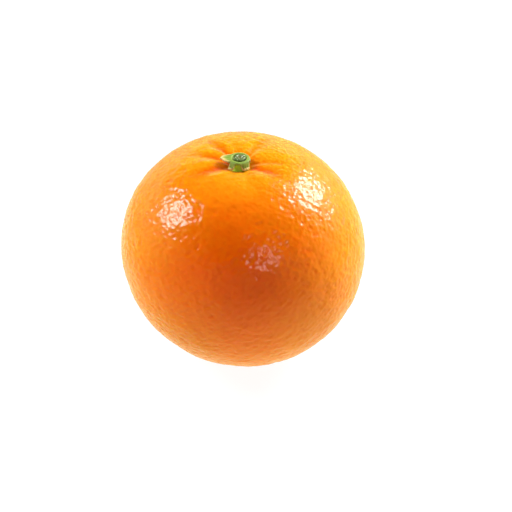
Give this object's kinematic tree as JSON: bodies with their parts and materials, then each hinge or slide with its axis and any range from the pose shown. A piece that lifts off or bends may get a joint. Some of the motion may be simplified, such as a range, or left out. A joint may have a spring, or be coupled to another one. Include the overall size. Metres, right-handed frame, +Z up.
{
  "type": "orange",
  "caption": "Whole picked sweet orange with pitted rind, furrowed stem end, green calyx with folded sepals and the snapped end of its stalk, resting on a small flat spot.",
  "frame": {"origin": "on the surface the fruit stands on, under the middle of its girth", "axes": "+Z up towards the stem end; -X towards the one sepal that spreads level; -Y is the side that faces the viewer"},
  "size_m": [0.075, 0.075, 0.0686],
  "materials": {
    "rind": "waxy gloss over a pitted skin",
    "calyx_green": "dry satin",
    "stalk_wood": "rough torn fibre"
  },
  "bodies": {
    "root": {"fruit": "rind", "calyx": "calyx_green", "stalk_end": "stalk_wood"}
  },
  "joints": []
}
